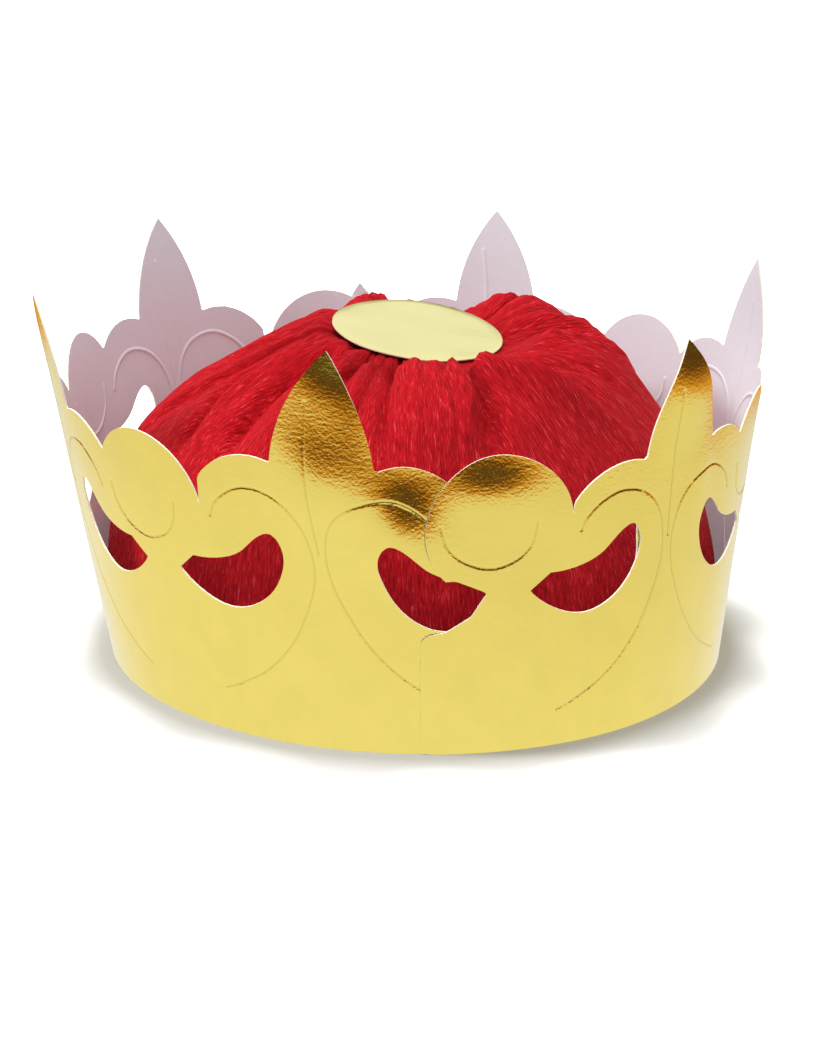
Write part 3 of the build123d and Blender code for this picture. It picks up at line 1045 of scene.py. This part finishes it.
def studio_world():
    """White to the camera and even grey light, with a painted reflection of a dark warm band low down that
    only the foil sees.
    """
    world = bpy.data.worlds.new("studio")
    bpy.context.scene.world = world
    world.use_nodes = True
    background = world.node_tree.nodes["Background"]
    place = shader(world, "ShaderNodeTexCoord")
    split = shader(world, "ShaderNodeSeparateXYZ")
    band = shader(world, "ShaderNodeValToRGB")
    set_ramp(band.color_ramp, WORLD_PAINTED_REFLECTION)
    light = shader(world, "ShaderNodeLightPath")
    shown, shown_ends = colour_mix(world, off=AMBIENT_LIGHT)
    backdrop, backdrop_ends = colour_mix(world, on=(1, 1, 1))
    join(world, place.outputs["Generated"], split.inputs[0])
    join(world, split.outputs[2], band.inputs["Fac"])
    # Painted reflection: glossy rays see the dark warm band, diffuse rays see even grey light, the camera
    # sees white
    join(world, light.outputs["Is Glossy Ray"], shown.inputs["Factor"])
    join(world, band.outputs["Color"], shown_ends["on"])
    join(world, light.outputs["Is Camera Ray"], backdrop.inputs["Factor"])
    join(world, shown.outputs[2], backdrop_ends["off"])
    join(world, backdrop.outputs[2], background.inputs["Color"])


def soft_lamp(name, place, aim, power, size):
    """Square soft lamp that points at the crown."""
    data = bpy.data.lights.new(name, "AREA")
    data.energy = power
    data.size = size
    lamp = bpy.data.objects.new(name, data)
    lamp.location = place
    lamp.rotation_euler = (Vector(aim) - Vector(place)).to_track_quat("-Z", "Y").to_euler()
    lamp.visible_glossy = False
    bpy.context.scene.collection.objects.link(lamp)


def photo_camera():
    """Camera at the photograph's viewing angle."""
    data = bpy.data.cameras.new("camera")
    data.sensor_fit = "VERTICAL"
    data.sensor_height = SENSOR_HEIGHT
    data.lens = FOCAL_PIXELS * data.sensor_height / PICTURE_HEIGHT
    data.clip_start = 0.01
    camera = bpy.data.objects.new("camera", data)
    back = Vector((0, -cos(CAMERA_ELEVATION), sin(CAMERA_ELEVATION)))
    right = Vector((1, 0, 0))
    up = back.cross(right)
    turn = Matrix((right, up, back)).transposed() @ Matrix.Rotation(CAMERA_ROLL, 3, "Z")
    camera.matrix_world = Matrix.Translation(CAMERA_TARGET + back * CAMERA_DISTANCE) @ turn.to_4x4()
    bpy.context.scene.collection.objects.link(camera)
    bpy.context.scene.camera = camera


class CROWN_OT_stage(bpy.types.Operator):
    """Floor, lights and camera"""

    bl_idname = "crown.stage"
    bl_label = "Stage"

    def execute(self, context):
        white_floor()
        studio_world()
        for lamp in LAMPS:
            soft_lamp(*lamp)
        photo_camera()
        context.scene.view_settings.view_transform = "Standard"
        return {"FINISHED"}


class CROWN_OT_bands(bpy.types.Operator):
    """The two foil-faced card blanks that make the ring"""

    bl_idname = "crown.bands"
    bl_label = "Foil card ring"

    def execute(self, context):
        for node in BANDS:
            foil_band(node)
        return {"FINISHED"}


class CROWN_OT_cap(bpy.types.Operator):
    """The gathered crepe-paper cap"""

    bl_idname = "crown.cap"
    bl_label = "Crepe cap"

    def execute(self, context):
        gathered_cap()
        return {"FINISHED"}


class CROWN_OT_disc(bpy.types.Operator):
    """The foil disc that covers the gather"""

    bl_idname = "crown.disc"
    bl_label = "Gather disc"

    def execute(self, context):
        foil_disc()
        return {"FINISHED"}


class CROWN_PT_panel(bpy.types.Panel):
    """Sizes, colours and pieces of the crown"""

    bl_idname = "CROWN_PT_panel"
    bl_label = "Paper crown"
    bl_space_type = "VIEW_3D"
    bl_region_type = "UI"
    bl_category = "Paper crown"

    def draw(self, context):
        for group in (context.scene.crown_sizes, context.scene.crown_colours):
            for name in group.__annotations__:
                self.layout.prop(group, name)
        for operator in (CROWN_OT_stage, CROWN_OT_bands, CROWN_OT_cap, CROWN_OT_disc):
            self.layout.operator(operator.bl_idname)


CLASSES = (
    CrownSizes, CrownColours, CROWN_OT_stage, CROWN_OT_bands, CROWN_OT_cap, CROWN_OT_disc, CROWN_PT_panel,
)


def register():
    for cls in CLASSES:
        bpy.utils.register_class(cls)
    bpy.types.Scene.crown_sizes = bpy.props.PointerProperty(type=CrownSizes)
    bpy.types.Scene.crown_colours = bpy.props.PointerProperty(type=CrownColours)


def unregister():
    del bpy.types.Scene.crown_sizes
    del bpy.types.Scene.crown_colours
    for cls in reversed(CLASSES):
        bpy.utils.unregister_class(cls)


def main():
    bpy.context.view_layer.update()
    register()
    bpy.ops.crown.stage()
    bpy.ops.crown.bands()
    bpy.ops.crown.cap()
    bpy.ops.crown.disc()


if __name__ == "__main__":
    main()
